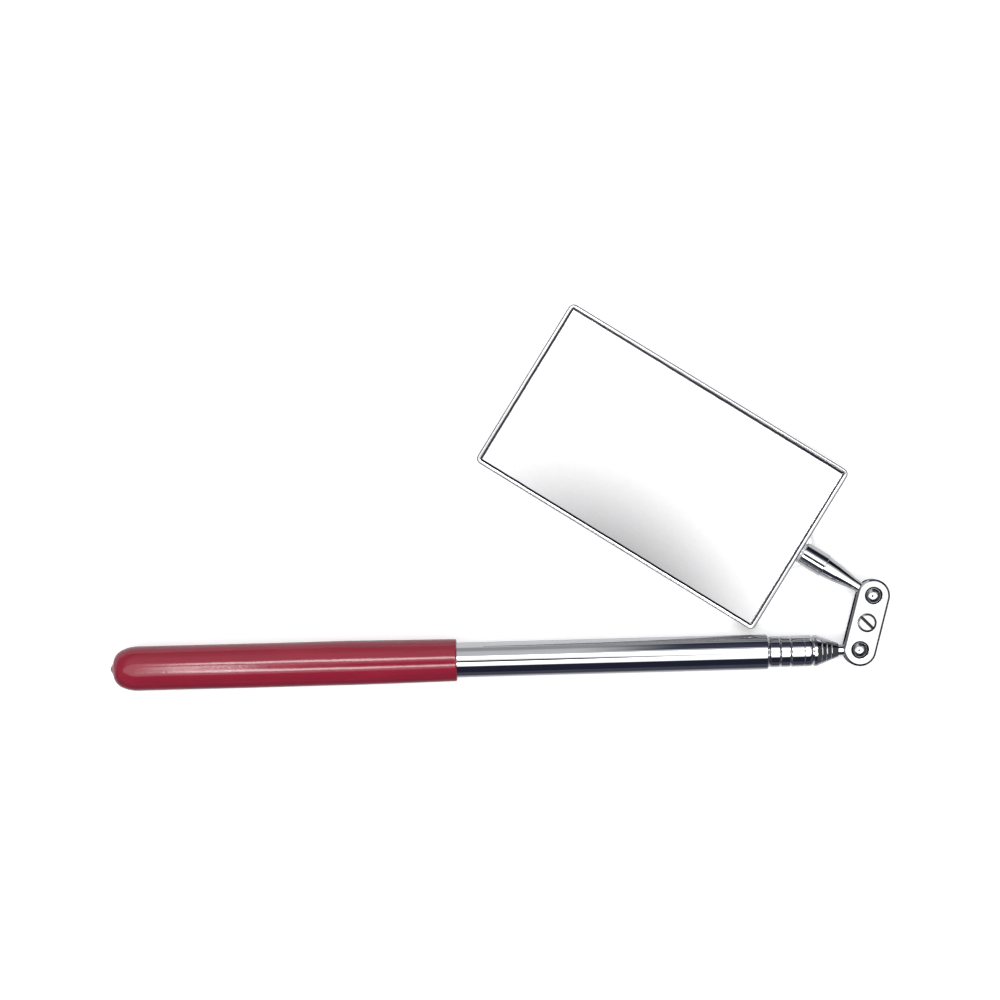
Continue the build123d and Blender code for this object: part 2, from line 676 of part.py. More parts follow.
def glass_layer(bottom, thickness):
    """A plate the size of the mirror glass."""
    with BuildPart() as layer:
        with BuildSketch(head_plane.offset(bottom)):
            with Locations((tray_middle, 0)):
                RectangleRounded(
                    pocket_length - 2 * GLASS_CLEARANCE,
                    pocket_width - 2 * GLASS_CLEARANCE,
                    pocket_corner,
                )
        extrude(amount=thickness)
    return layer


silver_coating = glass_layer(silver_bottom, SILVER_THICKNESS)
mirror_glass = glass_layer(glass_bottom, GLASS_THICKNESS)

# ---------------------------------------------------------------- files


os.makedirs("parts", exist_ok=True)
finish(grip, "grip")
finish(outer_tube, "outer_tube")
finish(middle_friction_sleeve, "middle_friction_sleeve")
finish(middle_tube, "middle_tube")
finish(middle_tail_collar, "middle_tail_collar")
finish(nose_guide_bush, "nose_guide_bush")
finish(rod_friction_sleeve, "rod_friction_sleeve")
finish(inner_rod, "inner_rod")
finish(rod_tail_collar, "rod_tail_collar")
finish(tip_ferrule, "tip_ferrule")
finish(lower_ball_stud, "lower_ball_stud")
finish(front_link_plate, "front_link_plate")
finish(rear_link_plate, "rear_link_plate")
finish(clamp_screw, "clamp_screw")
finish(lock_washer, "lock_washer")
finish(clamp_nut, "clamp_nut")
finish(upper_ball_stem, "upper_ball_stem")
finish(stem_bracket, "stem_bracket")
finish(bracket_rivets, "bracket_rivets")
finish(mirror_tray, "mirror_tray")
finish(backing_pad, "backing_pad")
finish(silver_coating, "silver_coating")
finish(mirror_glass, "mirror_glass")

# --- What the joints need: travels between the stops, ball centres and the stem's line
middle_travel = tube_mouth - LIP_LENGTH - LIP_RUN_IN - middle_sleeve_front - STOP_GAP
rod_travel = bush_rear - rod_sleeve_front - STOP_GAP
print(f"middle tube travel {middle_travel:.3f}, rod travel {rod_travel:.3f}")
print(f"lower ball {tuple(lower_ball)}, upper ball {tuple(upper_ball)}")
print(f"stem direction {tuple(stem_direction)}, dip {degrees(head_dip):.4f} degrees")
print(f"grip radius {grip_radius:.4f}, straight part {GRIP_STRAIGHT_LENGTH}, foot {screw_tail:.4f}")
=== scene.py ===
import bmesh
import bpy
import json
import math
from mathutils import Matrix, Vector, noise


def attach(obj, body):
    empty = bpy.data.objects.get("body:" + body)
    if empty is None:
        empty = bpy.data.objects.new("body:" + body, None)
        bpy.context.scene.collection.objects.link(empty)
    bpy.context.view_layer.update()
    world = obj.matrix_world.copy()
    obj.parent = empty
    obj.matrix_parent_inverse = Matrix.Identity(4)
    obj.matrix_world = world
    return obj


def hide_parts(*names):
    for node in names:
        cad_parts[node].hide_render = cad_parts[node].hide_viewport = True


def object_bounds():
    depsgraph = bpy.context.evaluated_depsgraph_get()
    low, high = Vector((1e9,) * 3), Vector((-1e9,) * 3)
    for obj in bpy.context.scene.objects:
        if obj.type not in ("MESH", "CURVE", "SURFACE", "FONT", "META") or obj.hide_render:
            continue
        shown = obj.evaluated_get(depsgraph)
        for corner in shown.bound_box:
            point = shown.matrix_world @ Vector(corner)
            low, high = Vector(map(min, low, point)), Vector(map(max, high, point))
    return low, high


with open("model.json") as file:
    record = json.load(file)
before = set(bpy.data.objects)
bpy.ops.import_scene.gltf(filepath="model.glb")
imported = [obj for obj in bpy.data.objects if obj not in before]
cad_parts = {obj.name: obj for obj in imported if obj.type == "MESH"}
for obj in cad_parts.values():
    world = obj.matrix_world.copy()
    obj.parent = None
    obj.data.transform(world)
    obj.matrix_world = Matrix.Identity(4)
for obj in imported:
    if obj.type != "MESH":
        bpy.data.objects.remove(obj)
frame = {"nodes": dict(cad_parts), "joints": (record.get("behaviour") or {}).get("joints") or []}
CAD_LOW, CAD_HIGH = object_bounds()
NODES = frame["nodes"]
MM = 0.001
scene = bpy.context.scene


# ---------------------------------------------------------------- node helpers


class Shader:
    """A small builder for one node tree."""

    def __init__(self, name, world=False):
        self.owner = bpy.data.worlds.new(name) if world else bpy.data.materials.new(name)
        self.owner.use_nodes = True
        self.tree = self.owner.node_tree
        self.tree.nodes.clear()
        kind = "ShaderNodeOutputWorld" if world else "ShaderNodeOutputMaterial"
        self.output = self.tree.nodes.new(kind)

    def node(self, kind, **settings):
        made = self.tree.nodes.new("ShaderNode" + kind)
        for key, value in settings.items():
            setattr(made, key, value)
        return made

    def link(self, source, target):
        self.tree.links.new(source, target)

    def feed(self, socket, value):
        """Links a socket, or sets a plain value."""
        if isinstance(value, bpy.types.NodeSocket):
            self.link(value, socket)
        else:
            socket.default_value = value

    def math(self, operation, first, second=0.0, third=0.0):
        made = self.node("Math", operation=operation)
        for socket, value in zip(made.inputs, (first, second, third)):
            self.feed(socket, value)
        return made.outputs[0]

    def position(self, scale=(1.0, 1.0, 1.0)):
        """Object coordinates in millimetres, stretched by scale."""
        coordinates = self.node("TexCoord")
        mapping = self.node("Mapping")
        mapping.inputs["Scale"].default_value = [s / MM for s in scale]
        self.link(coordinates.outputs["Object"], mapping.inputs["Vector"])
        return mapping.outputs[0]

    def noise(self, vector, scale, detail=2.0, roughness=0.5):
        made = self.node("TexNoise")
        self.link(vector, made.inputs["Vector"])
        made.inputs["Scale"].default_value = scale
        made.inputs["Detail"].default_value = detail
        made.inputs["Roughness"].default_value = roughness
        return made.outputs["Fac"]

    def remap(self, value, from_low, from_high, to_low, to_high, smooth=False):
        made = self.node("MapRange", clamp=True)
        made.interpolation_type = "SMOOTHSTEP" if smooth else "LINEAR"
        self.link(value, made.inputs["Value"])
        for name, number in (
            ("From Min", from_low), ("From Max", from_high), ("To Min", to_low), ("To Max", to_high)
        ):
            made.inputs[name].default_value = number
        return made.outputs["Result"]

    def mix(self, factor, first, second):
        made = self.node("Mix", data_type="RGBA")
        self.feed(made.inputs["Factor"], factor)
        self.feed(made.inputs[6], first)
        self.feed(made.inputs[7], second)
        return made.outputs[2]

    def bump(self, height, distance, strength=1.0, normal=None):
        made = self.node("Bump")
        made.inputs["Strength"].default_value = strength
        made.inputs["Distance"].default_value = distance * MM
        self.link(height, made.inputs["Height"])
        if normal is not None:
            self.link(normal, made.inputs["Normal"])
        return made.outputs[0]

    def principled(self, **values):
        made = self.node("BsdfPrincipled")
        for name, value in values.items():
            self.feed(made.inputs[name.replace("_", " ")], value)
        self.link(made.outputs[0], self.output.inputs["Surface"])
        return made


def rgb(red, green, blue):
    return (red, green, blue, 1.0)


# ---------------------------------------------------------------- materials


def vinyl():
    """Dipped vinyl: crimson, glossy, with a faint orange peel and slow runs along the dip."""
    s = Shader("dipped_vinyl")
    place = s.position()
    blotches = s.noise(s.position((0.05, 0.3, 0.3)), 1.0, 3.0)
    peel = s.noise(place, 1.4, 2.0)
    runs = s.noise(s.position((0.03, 0.25, 0.25)), 1.0, 1.0)
    colour = s.mix(
        s.remap(blotches, 0.3, 0.7, 0.0, 1.0), rgb(0.235, 0.014, 0.032), rgb(0.275, 0.017, 0.037)
    )
    rough = s.remap(s.noise(place, 0.35, 3.0), 0.3, 0.7, 0.07, 0.12)
    peel_bump = s.bump(peel, 0.016, 0.6)
    run_bump = s.bump(runs, 0.12, 0.5, peel_bump)
    s.principled(
        Base_Color=colour,
        Roughness=rough,
        IOR=1.5,
        Normal=run_bump,
        Subsurface_Weight=0.05,
        Subsurface_Scale=0.4 * MM,
    )
    return s.owner


def plated(name, tint, along, roughness, scratch, wobble):
    """Bright plating over drawn metal: fine lines along one axis, smudges and a slow ripple."""
    s = Shader(name)
    stretch = [1.2, 1.2, 1.2]
    stretch[along] = 0.03
    lines = s.noise(s.position(stretch), 6.0, 3.0, 0.6)
    smudges = s.noise(s.position(), 0.06, 4.0, 0.6)
    ripple = s.noise(s.position(), 0.16, 1.0)
    rough = s.remap(smudges, 0.35, 0.75, roughness, roughness * 2.2)
    rough = s.math("ADD", rough, s.remap(lines, 0.55, 0.8, 0.0, scratch))
    colour = s.mix(s.remap(smudges, 0.4, 0.7, 0.0, 1.0), tint, rgb(*[c * 0.93 for c in tint[:3]]))
    line_bump = s.bump(lines, 0.001, 0.2)
    ripple_bump = s.bump(ripple, wobble, 0.5, line_bump)
    s.principled(Base_Color=colour, Metallic=1.0, Roughness=rough, Normal=ripple_bump)
    return s.owner


def steel(name, tint, roughness):
    """Turned or stamped steel with an even fine grain."""
    s = Shader(name)
    grain = s.noise(s.position(), 9.0, 3.0, 0.6)
    stain = s.noise(s.position(), 0.4, 3.0)
    rough = s.remap(grain, 0.3, 0.7, roughness * 0.8, roughness * 1.3)
    colour = s.mix(s.remap(stain, 0.35, 0.7, 0.0, 1.0), tint, rgb(*[c * 0.86 for c in tint[:3]]))
    s.principled(Base_Color=colour, Metallic=1.0, Roughness=rough, Normal=s.bump(grain, 0.004, 0.4))
    return s.owner


def clear_glass():
    """Float glass: clear, a little green in the edge, with a few faint wipe marks."""
    s = Shader("float_glass")
    wipes = s.noise(s.position(), 0.9, 4.0)
    colour = s.mix(s.remap(wipes, 0.35, 0.7, 0.0, 1.0), rgb(0.997, 0.997, 0.998), rgb(0.988, 0.989, 0.99))
    s.principled(Base_Color=colour, Roughness=0.0, IOR=1.52, Transmission_Weight=1.0)
    return s.owner


def silvering():
    s = Shader("silvering")
    haze = s.noise(s.position(), 0.6, 3.0)
    colour = s.mix(s.remap(haze, 0.35, 0.7, 0.0, 1.0), rgb(0.935, 0.928, 0.938), rgb(0.925, 0.918, 0.928))
    s.principled(Base_Color=colour, Metallic=1.0, Roughness=s.remap(haze, 0.4, 0.8, 0.01, 0.016))
    return s.owner


def card():
    s = Shader("backing_card")
    fibres = s.noise(s.position((0.6, 2.0, 2.0)), 1.0, 5.0, 0.7)
    colour = s.mix(s.remap(fibres, 0.3, 0.7, 0.0, 1.0), rgb(0.3, 0.22, 0.14), rgb(0.42, 0.33, 0.22))
    s.principled(Base_Color=colour, Roughness=0.85, Normal=s.bump(fibres, 0.03, 0.6))
    return s.owner


CHROME = rgb(0.66, 0.67, 0.685)
tube_chrome = plated("tube_chrome", CHROME, 0, 0.022, 0.018, 0.004)
fitting_chrome = plated("fitting_chrome", CHROME, 0, 0.03, 0.02, 0.004)
link_nickel = plated("link_nickel", rgb(0.68, 0.68, 0.69), 1, 0.05, 0.04, 0.006)
case_nickel = plated("case_nickel", rgb(0.52, 0.52, 0.53), 0, 0.1, 0.05, 0.02)
ball_steel = steel("ball_steel", rgb(0.6, 0.605, 0.62), 0.08)
zinc_steel = steel("zinc_steel", rgb(0.6, 0.6, 0.59), 0.2)
sleeve_brass = steel("sleeve_brass", rgb(0.72, 0.5, 0.2), 0.25)

# Near-black steel that paints shade: it goes on the screw's slot faces and on the ball-hole walls of the
# link plates.
painted_shade_steel = steel("painted_shade_steel", rgb(0.05, 0.05, 0.055), 0.45)

FINISHES = {
    "grip": vinyl(),
    "outer_tube": tube_chrome,
    "middle_tube": tube_chrome,
    "inner_rod": tube_chrome,
    "tip_ferrule": fitting_chrome,
    "upper_ball_stem": fitting_chrome,
    "stem_bracket": fitting_chrome,
    "lower_ball_stud": ball_steel,
    "front_link_plate": link_nickel,
    "rear_link_plate": link_nickel,
    "clamp_screw": zinc_steel,
    "lock_washer": zinc_steel,
    "clamp_nut": zinc_steel,
    "bracket_rivets": zinc_steel,
    "middle_tail_collar": zinc_steel,
    "rod_tail_collar": zinc_steel,
    "middle_friction_sleeve": sleeve_brass,
    "nose_guide_bush": sleeve_brass,
    "rod_friction_sleeve": sleeve_brass,
    "mirror_tray": case_nickel,
    "backing_pad": card(),
    "silver_coating": silvering(),
    "mirror_glass": clear_glass(),
}
for node, material in FINISHES.items():
    mesh = NODES[node].data
    mesh.materials.clear()
    mesh.materials.append(material)


# ---------------------------------------------------------------- mesh helpers


def piece(name, vertices, faces, body, material, stands_for):
    """A new piece from plain vertices and faces, in place of a CAD node."""
    mesh = bpy.data.meshes.new(name)
    mesh.from_pydata(vertices, [], faces)
    mesh.validate()
    tidy = bmesh.new()
    tidy.from_mesh(mesh)
    bmesh.ops.remove_doubles(tidy, verts=tidy.verts, dist=1e-7)
    bmesh.ops.recalc_face_normals(tidy, faces=tidy.faces)
    tidy.to_mesh(mesh)
    tidy.free()
    mesh.shade_smooth()
    made = bpy.data.objects.new(name, mesh)
    scene.collection.objects.link(made)
    mesh.materials.append(material)
    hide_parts(stands_for)
    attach(made, body)
    return made


def sharpen(made, angle):
    """Marks edges steeper than angle as sharp, so flats stay flat and curves stay smooth."""
    made.data.set_sharp_from_angle(angle=math.radians(angle))


def lathe(profile, steps, place, radius_change=None):
    """Vertices and faces of a profile of (station, radius) pairs turned about the local Z axis."""
    vertices, faces = [], []
    for row, (station, radius) in enumerate(profile):
        for step in range(steps):
            turn = 2 * math.pi * step / steps
            reach = radius if radius_change is None else radius_change(turn, station, radius)
            local = Vector((reach * math.cos(turn), reach * math.sin(turn), station))
            vertices.append(place @ local)
    for row in range(len(profile) - 1):
        for step in range(steps):
            a, b = row * steps + step, row * steps + (step + 1) % steps
            faces.append((a, b, b + steps, a + steps))
    faces.append(tuple(range(steps)))
    last = (len(profile) - 1) * steps
    faces.append(tuple(range(last, last + steps)))
    return vertices, faces


def arc(centre, radius, start, end, steps):
    """Points of an arc as (x, y) pairs, angles in degrees."""
    angles = [math.radians(start + (end - start) * i / steps) for i in range(steps + 1)]
    return [(centre[0] + radius * math.cos(a), centre[1] + radius * math.sin(a)) for a in angles]


def local_box(node, place):
    """A node's lowest and highest corners in a local frame, in millimetres."""
    back = place.inverted()
    points = [back @ vertex.co for vertex in NODES[node].data.vertices]
    low = Vector([min(p[i] for p in points) for i in range(3)])
    high = Vector([max(p[i] for p in points) for i in range(3)])
    return low, high


def frame_matrix(origin, x_axis):
    """A local frame in millimetres: X along x_axis, Z as near to up as it can be."""
    x = Vector(x_axis).normalized()
    up = Vector((0, 0, 1))
    z = (up - x * up.dot(x)).normalized()
    y = z.cross(x)
    turn = Matrix((x, y, z)).transposed().to_4x4()
    return Matrix.Translation(origin) @ turn @ Matrix.Scale(MM, 4)


JOINTS = {joint["name"]: joint for joint in frame["joints"]}
LOWER_BALL = Vector(JOINTS["lower_swing"]["pos_m"])
UPPER_BALL = Vector(JOINTS["upper_swing"]["pos_m"])
HANDLE = frame_matrix((0, 0, 0), (1, 0, 0))
LINK = frame_matrix((LOWER_BALL + UPPER_BALL) / 2, UPPER_BALL - LOWER_BALL)
HEAD = frame_matrix(UPPER_BALL, JOINTS["head_spin"]["axis"])
Z_ALONG_X = Matrix(((0, 0, 1, 0), (1, 0, 0, 0), (0, 1, 0, 0), (0, 0, 0, 1)))


# ---------------------------------------------------------------- grip


GRIP_STRAIGHT_START = -28.75
DOME_FLAT_RADIUS = 2.2
GRIP_WALL_GAP = 0.01
GRIP_LIP = 0.45
MOUTH_FALL = 0.3
MOUTH_CHAMFER = 0.12
MOUTH_INSIDE = (0.06, 0.2, 12.0)
STEADY_WALL = 0.2
DOME_STEPS = 12
SHOULDER_STEPS = 16
BODY_STEPS = 120
DIP_DEPTH = 0.10
DIP_SCALE = (0.045, 1.3)
NUB_RADIUS = 1.47
NUB_RISE = 1.0


def grip():
    """The dipped sleeve: a round end with the drip left by the dip, and a soft lip at the mouth."""
    low, high = local_box("grip", HANDLE)
    tube = local_box("outer_tube", HANDLE)[1].y + GRIP_WALL_GAP
    top, mouth, apex = high.y, high.x, low.x + NUB_RISE
    bottom = local_box("outer_tube", HANDLE)[0].x
    profile = []
    shoulder = top - DOME_FLAT_RADIUS
    radii = [DOME_FLAT_RADIUS * step / DOME_STEPS for step in range(DOME_STEPS)]
    radii += [r for _, r in arc((0, DOME_FLAT_RADIUS), shoulder, 180, 90, SHOULDER_STEPS)]
    for radius in radii:
        share = max(0.0, radius - DOME_FLAT_RADIUS) / shoulder
        depth = (GRIP_STRAIGHT_START - apex) * (1 - math.sqrt(max(0.0, 1 - share**2)))
        nub = NUB_RISE * math.exp(-((radius / NUB_RADIUS) ** 2))
        profile.append((apex + depth - nub, radius))
    taper_start = -GRIP_STRAIGHT_START
    mouth_radius = top - MOUTH_FALL
    for step in range(1, BODY_STEPS):
        station = GRIP_STRAIGHT_START + (mouth - GRIP_LIP - GRIP_STRAIGHT_START) * step / BODY_STEPS
        slack = max(0.0, station - taper_start) / (mouth - taper_start)
        profile.append((station, top - (top - mouth_radius) * slack))
    profile += arc((mouth - GRIP_LIP, mouth_radius - GRIP_LIP), GRIP_LIP, 90, 0, 6)
    rim, bore_start, bore_middle = [mouth - inwards for inwards in MOUTH_INSIDE]
    profile += [(rim, tube + MOUTH_CHAMFER), (bore_start, tube), (bore_middle, tube)]
    profile += [(bottom, tube), (bottom, 0.0)]

    def uneven(turn, station, radius):
        """Slow unevenness of the dip, always inwards, and none where the vinyl meets the tube."""
        if radius <= tube + STEADY_WALL:
            return radius
        along, across = DIP_SCALE
        place = Vector((station * along, across * math.cos(turn), across * math.sin(turn)))
        sag = 0.5 + 0.5 * noise.noise(place)
        return radius - DIP_DEPTH * sag

    vertices, faces = lathe(profile, 96, HANDLE @ Z_ALONG_X, uneven)
    made = piece("dipped_grip", vertices, faces, "handle", FINISHES["grip"], "grip")
    sharpen(made, 50)


grip()


# ---------------------------------------------------------------- mirror case


FOLD_RADIUS = 0.5
BEND_RADIUS = 0.6
SHEET = 0.45
HEM_FLAT = 0.86
HEM_WIDTH = 1.46
CASE_CORNER = 1.6
CORNER_STEPS = 10
SIDE_STEP = 1.0
BACK_REACH = 1.5
GLASS_TOUCH = 0.005
WALL_GAP = 0.05
HEM_ROLL = (0.05, 0.025)
HEM_LIP = (0.04, 0.05)
HEM_TOE = 0.03
HEM_UNDERCUT = 0.1
HEM_WAVE = 0.05
HEM_WAVE_SCALE = 0.35
HEM_WAVE_SEED = 3.7
MITRE = 0.15


def case_outline(low, high):
    """Points and outward directions around the case, with a mark at the middle of each corner."""
    stations = []
    centres = (
        (high.x - CASE_CORNER, high.y - CASE_CORNER), (low.x + CASE_CORNER, high.y - CASE_CORNER),
        (low.x + CASE_CORNER, low.y + CASE_CORNER), (high.x - CASE_CORNER, low.y + CASE_CORNER),
    )
    for quarter, centre in enumerate(centres):
        for step in range(CORNER_STEPS + 1):
            turn = math.pi / 2 * (quarter + step / CORNER_STEPS)
            out = Vector((math.cos(turn), math.sin(turn)))
            stations.append((Vector(centre) + out * CASE_CORNER, out, step == CORNER_STEPS // 2))
        following = Vector(centres[(quarter + 1) % 4]) + out * CASE_CORNER
        start = stations[-1][0]
        count = int((following - start).length / SIDE_STEP)
        for step in range(1, count):
            stations.append((start.lerp(following, step / count), out, False))
    return stations


def case_section(low, high, glass_top, slack):
    """The sheet's section as (inward, height) pairs, from the back round to the hem and back."""
    section = [(BACK_REACH, low)]
    section += arc((BEND_RADIUS, low + BEND_RADIUS), BEND_RADIUS, 270, 180, 5)
    section += arc((FOLD_RADIUS, high - FOLD_RADIUS), FOLD_RADIUS, 180, 90, 8)
    section += [(HEM_FLAT + slack, high), (HEM_FLAT + HEM_ROLL[0] + slack, high - HEM_ROLL[1])]
    section += [(HEM_WIDTH - HEM_LIP[0] + slack, glass_top + HEM_LIP[1])]
    section += [(HEM_WIDTH + slack, glass_top + HEM_TOE)]
    section += [(HEM_WIDTH - HEM_UNDERCUT + slack, glass_top + GLASS_TOUCH)]
    section += [(SHEET, glass_top + GLASS_TOUCH)]
    inner_centre = (BEND_RADIUS + WALL_GAP, low + BEND_RADIUS + WALL_GAP)
    section += arc(inner_centre, BEND_RADIUS - SHEET + WALL_GAP, 180, 270, 3)
    section.append((BACK_REACH, low + SHEET))
    return section


def mirror_case():
    """The folded case: a back, walls with round bends, and a hem pressed down on the glass."""
    low, high = local_box("mirror_tray", HEAD)
    glass_top = local_box("mirror_glass", HEAD)[1].z
    vertices, rings = [], []
    for point, out, corner in case_outline(low, high):
        place = Vector((point.x * HEM_WAVE_SCALE, point.y * HEM_WAVE_SCALE, HEM_WAVE_SEED))
        slack = HEM_WAVE * noise.noise(place)
        ring = []
        for inward, height in case_section(low.z, high.z, glass_top, slack):
            if corner and inward > FOLD_RADIUS and height > glass_top:
                inward = FOLD_RADIUS + (inward - FOLD_RADIUS) * MITRE
            place = point - out * inward
            ring.append(len(vertices))
            vertices.append(HEAD @ Vector((place.x, place.y, height)))
        rings.append(ring)
    faces = []
    for ring, following in zip(rings, rings[1:] + rings[:1]):
        for a in range(len(ring) - 1):
            faces.append((ring[a], ring[a + 1], following[a + 1], following[a]))
    faces.append(tuple(ring[0] for ring in rings))
    faces.append(tuple(ring[-1] for ring in rings))
    made = piece(
        "folded_case", vertices, faces, "head", FINISHES["mirror_tray"], "mirror_tray"
    )
    sharpen(made, 40)


mirror_case()


# ---------------------------------------------------------------- mirror glass


GLASS_CORNER = 1.0
GLASS_ARRIS = 0.25
SILVER_GAP = 0.01


def mirror_pane():
    """The glass: a pane with rounded corners and ground edges, just clear of its silvering."""
    low, high = local_box("mirror_glass", HEAD)
    bottom = low.z + SILVER_GAP
    rims = (
        (GLASS_ARRIS, bottom), (0.0, bottom + GLASS_ARRIS), (0.0, high.z - GLASS_ARRIS),
        (GLASS_ARRIS, high.z),
    )
    right, left = high.x - GLASS_CORNER, low.x + GLASS_CORNER
    back, front = high.y - GLASS_CORNER, low.y + GLASS_CORNER
    centres = ((right, back), (left, back), (left, front), (right, front))
    vertices = []
    for inset, height in rims:
        for quarter, centre in enumerate(centres):
            start = 90 * quarter
            turn = arc(centre, GLASS_CORNER - inset, start, start + 90, CORNER_STEPS)
            vertices += [HEAD @ Vector((x, y, height)) for x, y in turn]
    count = len(vertices) // len(rims)
    faces = []
    for row in range(len(rims) - 1):
        for step in range(count):
            a, b = row * count + step, row * count + (step + 1) % count
            faces.append((a, b, b + count, a + count))
    faces.append(tuple(range(count)))
    faces.append(tuple(range(len(vertices) - count, len(vertices))))
    made = piece(
        "float_pane", vertices, faces, "head", FINISHES["mirror_glass"], "mirror_glass"
    )
    sharpen(made, 20)


mirror_pane()


# ---------------------------------------------------------------- clamp screw, washer and nut


THREAD_PITCH = 0.5
THREAD_DEPTH = 0.22
THREAD_STEPS = 8
THREAD_RUNOUT = 0.4
SHANK_RADIUS = 1.45
THREAD_STOP = 0.02
HEAD_EASE = 0.03
HEAD_FALL = (0.02, 0.08)
HEAD_CENTRE = 0.6
HEAD_CHAMFER = 0.55
CHAMFER_DEPTH = 0.34
SLOT_WIDTH = 0.8
SLOT_FLOOR = 0.2
SLOT_DEPTH = 0.45
SLOT_FLARE = 0.02
CUTTER_RISE = 0.03
SLOT_TURN = math.radians(-30)


def clamp_screw():
    """A pan head with a slot, and a thread down the shank."""
    low, high = local_box("clamp_screw", LINK)
    seat = local_box("front_link_plate", LINK)[1].z
    radius = (high.y - low.y) / 2
    shoulder = high.z - CHAMFER_DEPTH
    flat_radius = radius - HEAD_CHAMFER
    head = [(seat, SHANK_RADIUS), (seat, radius)]
    head += [(shoulder - HEAD_EASE, radius), (shoulder, radius - HEAD_FALL[0])]
    head += [(high.z - HEAD_EASE, flat_radius), (high.z, flat_radius - HEAD_FALL[1])]
    head.append((high.z, HEAD_CENTRE))
    count = int((seat - low.z) / THREAD_PITCH * THREAD_STEPS)
    stations = [low.z + (seat - low.z) * i / count for i in range(count)]
    profile = [(z, SHANK_RADIUS) for z in stations] + head

    def thread(turn, station, reach):
        if station >= seat - THREAD_STOP or reach != SHANK_RADIUS:
            return reach
        phase = (station / THREAD_PITCH - turn / (2 * math.pi)) % 1.0
        groove = 1 - abs(2 * phase - 1)
        tail = min(1.0, (station - low.z) / THREAD_RUNOUT)
        return SHANK_RADIUS - THREAD_DEPTH * max(groove, 1 - tail)

    vertices, faces = lathe(profile, 48, LINK, thread)
    made = piece(
        "slotted_screw", vertices, faces, "link", FINISHES["clamp_screw"], "clamp_screw"
    )
    cut_slot(made, high.z, radius)
    sharpen(made, 15)


def cut_slot(made, top, radius):
    """Cuts the driver slot across the screw's head; the slot's faces take near-black steel, which paints
    shade in the slot.
    """
    turn = Matrix.Rotation(SLOT_TURN, 4, "Z")
    reach = radius + 1
    corners = []
    levels = (
        (SLOT_FLOOR / 2, top - SLOT_DEPTH), (SLOT_WIDTH / 2 + SLOT_FLARE, top + CUTTER_RISE),
    )
    for half, z in levels:
        for x, y in ((-half, -reach), (half, -reach), (half, reach), (-half, reach)):
            corners.append(LINK @ turn @ Vector((x, y, z)))
    faces = [(3, 2, 1, 0), (4, 5, 6, 7), (0, 1, 5, 4), (1, 2, 6, 5), (2, 3, 7, 6), (3, 0, 4, 7)]
    mesh = bpy.data.meshes.new("slot_cutter")
    mesh.from_pydata(corners, [], faces)
    cutter = bpy.data.objects.new("slot_cutter", mesh)
    scene.collection.objects.link(cutter)
    # The cutter's near-black material passes to the slot faces: painted shade in the slot.
    mesh.materials.append(painted_shade_steel)
    made.data.materials.append(painted_shade_steel)
    boolean = made.modifiers.new("slot", "BOOLEAN")
    boolean.material_mode = "TRANSFER"
    boolean.operation = "DIFFERENCE"
    boolean.object = cutter
    bpy.context.view_layer.update()
    graph = bpy.context.evaluated_depsgraph_get()
    cut = bpy.data.meshes.new_from_object(made.evaluated_get(graph))
    made.modifiers.clear()
    made.data = cut
    bpy.data.objects.remove(cutter)


NUT_BORE = 1.46
NUT_TURNED = 0.32
NUT_CHAMFER = 0.35
NUT_FACE_EASE = (0.06, 0.05)
NUT_BEYOND = 0.1


def clamp_nut():
    """A hexagon nut with turned corners."""
    low, high = local_box("clamp_nut", LINK)
    flats = min(high.x - low.x, high.y - low.y) / 2
    corner = flats / math.cos(math.pi / 6)
    turned = corner - NUT_TURNED
    rise, inset = NUT_FACE_EASE
    beyond = corner + NUT_BEYOND
    profile = [(low.z, NUT_BORE), (low.z, flats - inset), (low.z + rise, turned)]
    profile += [(low.z + NUT_CHAMFER, beyond), (high.z - NUT_CHAMFER, beyond)]
    profile += [(high.z - rise, turned), (high.z, flats - inset), (high.z, NUT_BORE)]

    def hexagon(turn, station, radius):
        side = (turn + math.pi / 6) % (math.pi / 3) - math.pi / 6
        return min(radius, flats / math.cos(side))

    vertices, faces = lathe(profile, 96, LINK @ Matrix.Rotation(math.pi / 6, 4, "Z"), hexagon)
    made = piece(
        "hexagon_nut", vertices, faces, "link", FINISHES["clamp_nut"], "clamp_nut"
    )
    sharpen(made, 25)


WASHER_BORE = 1.52
WASHER_BEVEL = 0.07
WASHER_LIFT = 0.08
WASHER_STEPS = 72
WASHER_GAP = math.radians(11)
WASHER_SKEW = 0.12


def lock_washer():
    """A split spring washer, its ends a little out of line."""
    low, high = local_box("lock_washer", LINK)
    outer = (high.x - low.x) / 2
    inner, bevel = WASHER_BORE, WASHER_BEVEL
    thick = (high.z - low.z) - WASHER_LIFT
    section = [
        (inner + bevel, 0), (outer - bevel, 0), (outer, bevel), (outer, thick - bevel),
        (outer - bevel, thick), (inner + bevel, thick), (inner, thick - bevel), (inner, bevel),
    ]
    vertices, faces = [], []
    for step in range(WASHER_STEPS + 1):
        share = step / WASHER_STEPS
        turn = math.pi / 2 + WASHER_GAP / 2 + (2 * math.pi - WASHER_GAP) * share
        lift = low.z + WASHER_LIFT * share
        for radius, height in section:
            skew = turn + (height - thick / 2) * WASHER_SKEW
            around = (radius * math.cos(skew), radius * math.sin(skew))
            vertices.append(LINK @ Vector((*around, height + lift)))
    size = len(section)
    for step in range(WASHER_STEPS):
        start, following = step * size, (step + 1) * size
        for a in range(size):
            b = (a + 1) % size
            faces.append((start + a, start + b, following + b, following + a))
    faces.append(tuple(range(size)))
    faces.append(tuple(range(WASHER_STEPS * size, (WASHER_STEPS + 1) * size)))
    made = piece(
        "split_washer", vertices, faces, "link", FINISHES["lock_washer"], "lock_washer"
    )
    sharpen(made, 30)


clamp_screw()
clamp_nut()
lock_washer()


# ---------------------------------------------------------------- link plates


